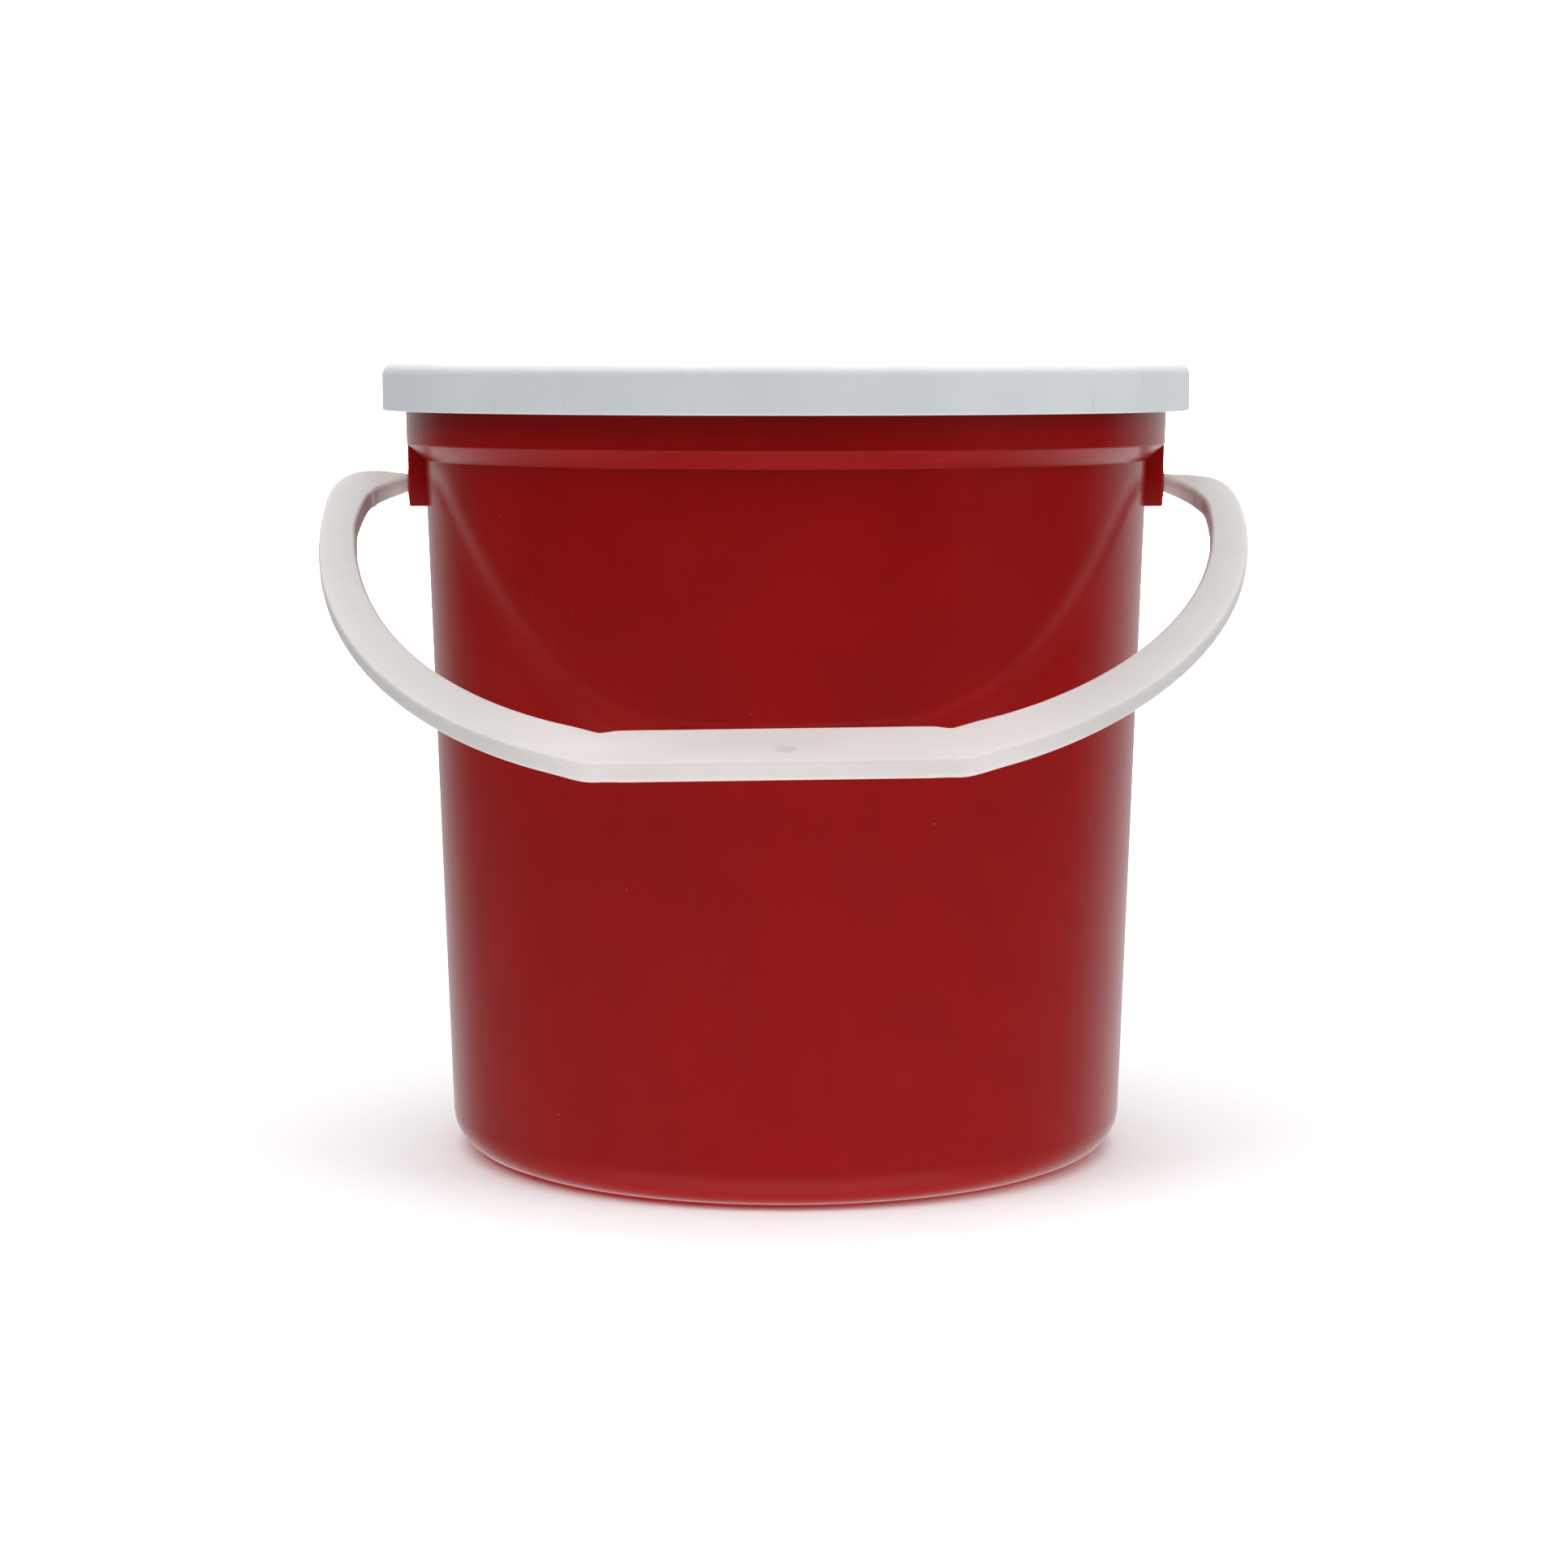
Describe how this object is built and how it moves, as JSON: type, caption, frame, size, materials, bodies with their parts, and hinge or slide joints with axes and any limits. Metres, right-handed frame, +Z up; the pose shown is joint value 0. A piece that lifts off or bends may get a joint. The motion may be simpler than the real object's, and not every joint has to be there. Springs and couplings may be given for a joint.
{
  "type": "sand bucket",
  "caption": "Tapered round plastic sand bucket with a stepped collar, a push-on lid and a bowed bail handle that swings on lugs under the collar.",
  "frame": {"origin": "centre of the bucket's underside, on the surface it stands on", "axes": "+X along the handle's pivot axis, -Y towards the side where the handle hangs, +Z up out of the mouth"},
  "size_m": [0.2448, 0.2178, 0.2118],
  "materials": {
    "bucket_body": "glossy red polypropylene",
    "lid": "satin white polyethylene",
    "handle": "milky natural polypropylene"
  },
  "bodies": {
    "bucket": {"bucket_body": "bucket_body"},
    "lid": {"lid": "lid"},
    "handle": {"handle": "handle"}
  },
  "joints": [
    {"name": "handle_swing", "type": "hinge", "parent": "bucket", "child": "handle", "pos_m": [0, 0, 0.1799], "axis": [-1, 0, 0], "range_deg": [0, 243]},
    {"name": "lid_lift", "type": "slide", "parent": "bucket", "child": "lid", "axis": [0, 0, 1], "range_m": [0, 0.1]}
  ]
}
